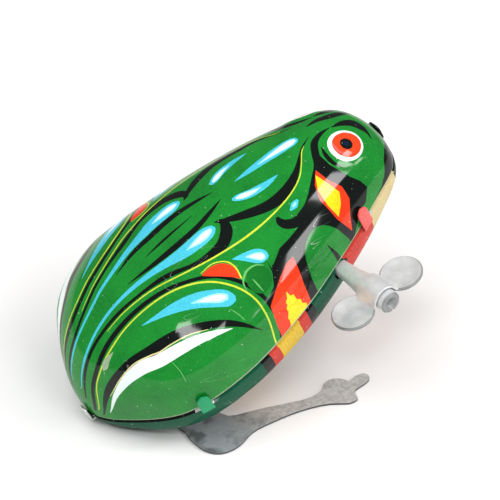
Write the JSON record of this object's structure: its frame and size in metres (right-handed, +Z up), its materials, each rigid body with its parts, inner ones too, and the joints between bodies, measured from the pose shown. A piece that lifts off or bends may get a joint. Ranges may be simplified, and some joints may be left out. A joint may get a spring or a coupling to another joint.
{
  "type": "tin wind-up jumping frog",
  "caption": "Printed tinplate clockwork frog: domed back, shallow pan belly, butterfly side key and flat sprung hind legs that kick it into a hop.",
  "frame": {"origin": "bottom centre of the bounding box, on the surface that the soles and the rump stand on", "axes": "+X the way the frog faces, +Y to its left, +Z up; the body is pitched nose-up by 26.5 degrees"},
  "size_m": [0.0756, 0.0598, 0.0462],
  "materials": {
    "green_litho": "printed and varnished, glossy",
    "pan_litho": "printed and varnished, glossy",
    "bright_tin": "bright tinplate",
    "leg_steel": "dull zinc-plated",
    "works_steel": "plain stamped",
    "works_brass": "stamped",
    "spring_steel": "blued"
  },
  "bodies": {
    "casing": {"upper_shell": "green_litho", "lower_shell": "pan_litho", "movement_plate_left": "works_steel", "movement_plate_right": "works_steel", "pillar_front": "works_steel", "pillar_top": "works_steel", "pillar_rear": "works_steel", "mainspring": "spring_steel", "leg_spring": "spring_steel"},
    "winding": {"key": "bright_tin", "winding_arbor": "works_steel", "ratchet_wheel": "works_steel"},
    "great_wheel": {"great_wheel": "works_brass", "click_rivet": "works_steel", "click_spring": "spring_steel"},
    "click": {"click": "works_steel"},
    "second_wheel": {"second_arbor": "works_steel", "second_pinion": "works_brass", "second_wheel": "works_brass"},
    "star_wheel": {"star_arbor": "works_steel", "star_pinion": "works_brass", "star_wheel": "works_steel"},
    "legs": {"leg_axle": "works_steel", "leg_left": "leg_steel", "leg_right": "leg_steel", "leg_lever": "works_steel"}
  },
  "joints": [
    {"name": "key_wind", "type": "hinge", "parent": "casing", "child": "winding", "pos_m": [0.01352, 0.00264, 0.02514], "axis": [0, 1, 0], "continuous": true},
    {"name": "great_wheel_spin", "type": "hinge", "parent": "casing", "child": "great_wheel", "pos_m": [0.01352, 0.00264, 0.02514], "axis": [0, 1, 0], "continuous": true},
    {"name": "click_pivot", "type": "hinge", "parent": "great_wheel", "child": "click", "pos_m": [0.01162, 0.00264, 0.02895], "axis": [0, -1, 0], "range_deg": [-3, 12], "stiffness_Nm_per_rad": 0.00002},
    {"name": "second_wheel_spin", "type": "hinge", "parent": "casing", "child": "second_wheel", "pos_m": [0.00579, 0.00264, 0.02185], "axis": [0, 1, 0], "continuous": true},
    {"name": "star_wheel_spin", "type": "hinge", "parent": "casing", "child": "star_wheel", "pos_m": [-0.00181, 0.00264, 0.01828], "axis": [0, 1, 0], "continuous": true},
    {"name": "leg_swing", "type": "hinge", "parent": "casing", "child": "legs", "pos_m": [-0.01924, 0.00264, 0.0068], "axis": [0, -1, 0], "range_deg": [0, 16], "stiffness_Nm_per_rad": 0.05, "springref_deg": -20.05}
  ],
  "couplings": [
    {"joint": "second_wheel_spin", "follows": "great_wheel_spin", "ratio": -2},
    {"joint": "star_wheel_spin", "follows": "great_wheel_spin", "ratio": 5}
  ]
}
